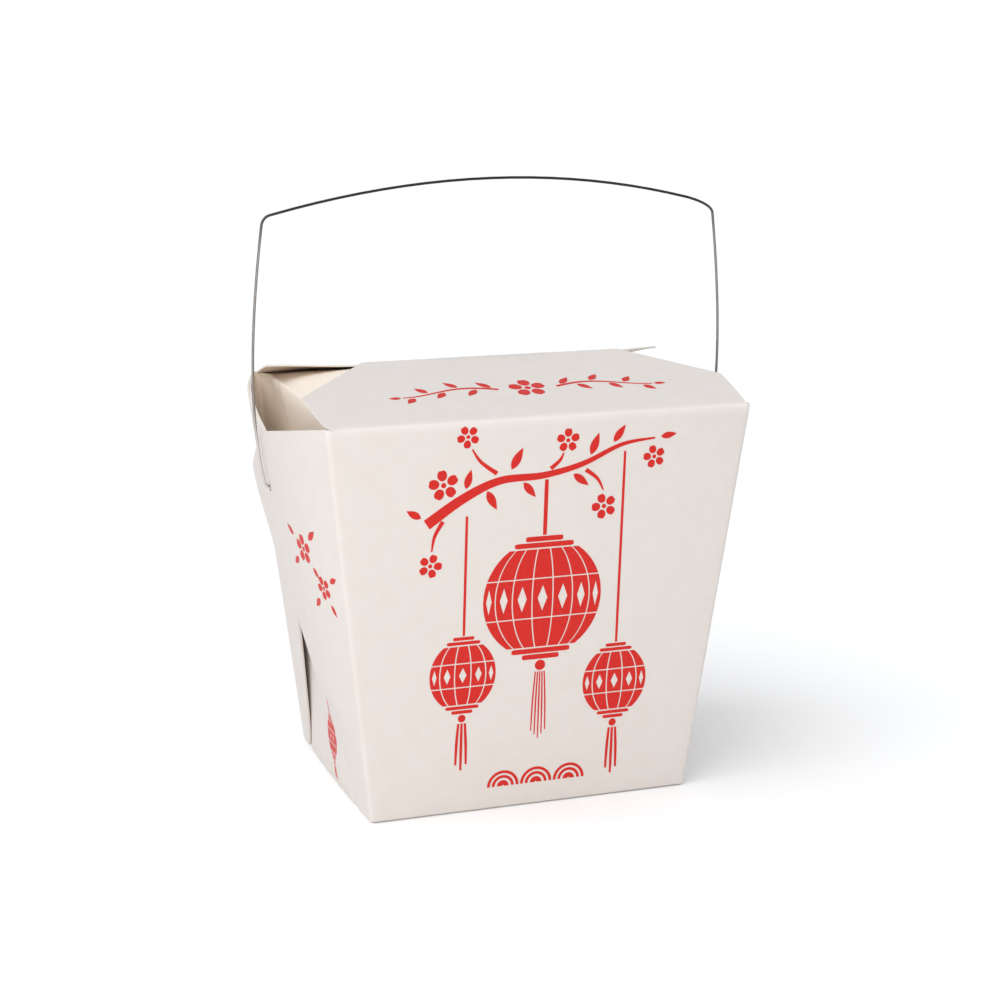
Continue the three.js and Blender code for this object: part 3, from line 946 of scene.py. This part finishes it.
def lidDesign():
    x, y, radius = lidSprig["blossom"]
    near, far = lidSprig["reach"]
    steps = lidSprig["steps"]
    length, width = lidSprig["leaf"]
    shapes = blossom(x, y, radius)
    for side in (-1, 1):
        stem = [(x + side * mix(near, far, i / steps),
                 y + lidSprig["rise"] * math.sin(1.5 * math.pi * i / steps)) for i in range(steps + 1)]
        shapes.append(brushStroke(stem, [mix(*lidSprig["stemWidths"], i / steps) for i in range(steps + 1)]))
        for i in range(lidSprig["leaves"]):
            share = (i + lidSprig["firstLeaf"]) / lidSprig["leaves"]
            step = int(share * steps)
            rootX, rootY = (mix(a, b, share * steps % 1) for a, b in zip(stem[step], stem[step + 1]))
            up = 1 if i % 2 == 0 else -1
            turn = lidSprig["leafTurn"] * up if side == 1 else 180 - lidSprig["leafTurn"] * up
            shapes.append(leaf(rootX, rootY + lidSprig["leafOff"] * up,
                               length * mix(1, lidSprig["lastLeaf"], share), width, turn))
        shapes.append(leaf(x + side * (far + lidSprig["tipGap"]), stem[-1][1], *lidSprig["tip"],
                           0 if side == 1 else 180))
    return shapes


def sideDesign():
    shapes = lantern(sideLantern) + [leaf(*place) for place in sideSprig["leaves"]]
    for place in sideSprig["blossoms"]:
        shapes += blossom(*place)
    return shapes


def flatPrint(name, outlines):
    deselectAll()
    bpy.ops.curve.primitive_bezier_circle_add()
    bpy.context.object.name = name
    outline = bpy.context.object.data
    outline.dimensions = "2D"
    outline.fill_mode = "BOTH"
    outline.splines.clear()
    for points in outlines:
        spline = outline.splines.new("POLY")
        spline.points.add(len(points) - 1)
        spline.points.foreach_set("co", [n for x, y in points for n in (x, y, 0, 1)])
        spline.use_cyclic_u = True
    bpy.ops.object.convert(target="MESH")
    sheet = bpy.context.object
    editAll(sheet)
    bpy.ops.mesh.remove_doubles(threshold=0.01)
    # cross cuts, so that it can follow a curved face
    for axis in (0, 1):
        values = [vertex.co[axis] for vertex in bmesh.from_edit_mesh(sheet.data).verts]
        low, step = min(values), printing["cutEvery"]
        for i in range(1, int((max(values) - low) / step) + 1):
            bpy.ops.mesh.select_all(action="SELECT")
            normal = Vector((1 - axis, axis, 0))
            bpy.ops.mesh.bisect(plane_co=normal * (low + step * i), plane_no=normal)
    leaveEditMode()
    return sheet


def pressOn(sheet, start, direction, flip=(1, 1, 1)):
    # every corner is sent from start(x, y) along the direction until it meets the carton
    missed = 0
    for vertex in sheet.data.vertices:
        origin = Vector(start(*vertex.co.xy)) * Vector(flip) * mm
        found, place, normal, _ = carton.ray_cast(origin, Vector(direction) * Vector(flip))
        missed += not found
        vertex.co = place + normal * printing["inkLift"] * mm
    applyModifier(sheet, "SOLIDIFY", thickness=printing["inkThickness"] * mm, offset=0)
    recalculateNormals(sheet, 0.0001)
    sheet.data.materials.append(inkMaterial)
    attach(sheet, "carton")
    print(sheet.name, "pressed on:", len(sheet.data.polygons), "faces,", missed, "missed")


# each design is pressed on twice, from well outside the box; flip brings the second one in from the other end
prints = [("frontPrint", "backPrint", frontDesign, lambda x, y: (x, -90, y), (0, 1, 0), (-1, -1, 1)),
          ("frontLidPrint", "backLidPrint", lidDesign, lambda x, y: (x, y, 150), (0, 0, -1), (-1, -1, 1)),
          ("leftSidePrint", "rightSidePrint", sideDesign, lambda x, y: (-120, -x, y), (1, 0, 0), (-1, 1, 1))]
bpy.context.view_layer.update()
for name, flippedName, design, start, direction, flip in prints:
    sheet = flatPrint(name, design())
    pick(sheet)
    bpy.ops.object.duplicate(linked=False)
    flipped = bpy.context.object
    flipped.name = flippedName
    pressOn(sheet, start, direction)
    pressOn(flipped, start, direction, flip)

# the wire bail: one wire bent in a plane; a shoulder's bend reaches so far along the arch and down the leg
bail = {"wireRadius": 0.37, "hookHeight": 86, "hookEndX": 52, "hookOuterX": 65.4, "hookBend": 2.2,
        "hookLean": 0.2, "bellyX": 71, "bellyHeight": 112, "shoulderX": 64.95, "shoulderHeight": 159.1,
        "shoulderBends": {"left": (2.0, 2.4), "right": (8.0, 2.6)}, "archTop": 167.9, "shift": 0.41}


def halfWire(alongArch, downLeg):
    # the stops of one half of the wire, and the corners that the stretches between them are drawn towards
    archSlope = 2 * (bail["archTop"] - bail["shoulderHeight"]) / bail["shoulderX"]
    legSlope = (bail["bellyX"] - bail["shoulderX"]) / (bail["shoulderHeight"] - bail["bellyHeight"])
    shoulder = (bail["shoulderX"], bail["shoulderHeight"])
    stops = [(bail["hookEndX"], bail["hookHeight"]),
             (bail["hookOuterX"] - bail["hookBend"], bail["hookHeight"]),
             (bail["hookOuterX"] + bail["hookLean"], bail["hookHeight"] + bail["hookBend"]),
             (shoulder[0] + legSlope * downLeg, shoulder[1] - downLeg),
             (shoulder[0] - alongArch, shoulder[1] + archSlope * alongArch)]
    belly = (bail["bellyX"], bail["bellyHeight"])
    return stops, [None, (bail["hookOuterX"], bail["hookHeight"]), belly, shoulder]


def bendWire():
    stops, corners = halfWire(*bail["shoulderBends"]["right"])
    leftStops, leftCorners = halfWire(*bail["shoulderBends"]["left"])
    archHigh = 2 * bail["archTop"] - (stops[-1][1] + leftStops[-1][1]) / 2
    corners += [(0, archHigh)] + [None if c is None else (-c[0], c[1]) for c in reversed(leftCorners)]
    stops += [(-x, z) for x, z in reversed(leftStops)]
    deselectAll()
    bpy.ops.curve.primitive_bezier_curve_add(radius=1)
    wire = bpy.context.object
    wire.name = "wireBail"
    spline = wire.data.splines[0]
    spline.bezier_points.add(len(stops) - 2)
    for point, (x, z) in zip(spline.bezier_points, stops):
        point.handle_left_type = point.handle_right_type = "FREE"
        point.co = point.handle_left = point.handle_right = Vector((x + bail["shift"], 0, z)) * mm
    for i, corner in enumerate(corners):
        if corner is None:
            continue
        pull = Vector((corner[0] + bail["shift"], 0, corner[1])) * mm
        near, far = spline.bezier_points[i], spline.bezier_points[i + 1]
        near.handle_right = near.co.lerp(pull, 2 / 3)
        far.handle_left = far.co.lerp(pull, 2 / 3)
    wire.data.dimensions = "3D"
    wire.data.resolution_u = 20
    wire.data.bevel_depth = bail["wireRadius"] * mm
    wire.data.bevel_resolution = 4
    wire.data.use_fill_caps = True
    pick(wire)
    bpy.ops.object.convert(target="MESH")
    wire = bpy.context.object
    recalculateNormals(wire)
    wire.data.materials.append(wireMaterial)
    bpy.ops.object.shade_smooth_by_angle(angle=math.radians(40))
    return wire


wire = bendWire()
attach(wire, "bail")
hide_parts("bail")
print("bail bent:", len(wire.data.polygons), "faces")
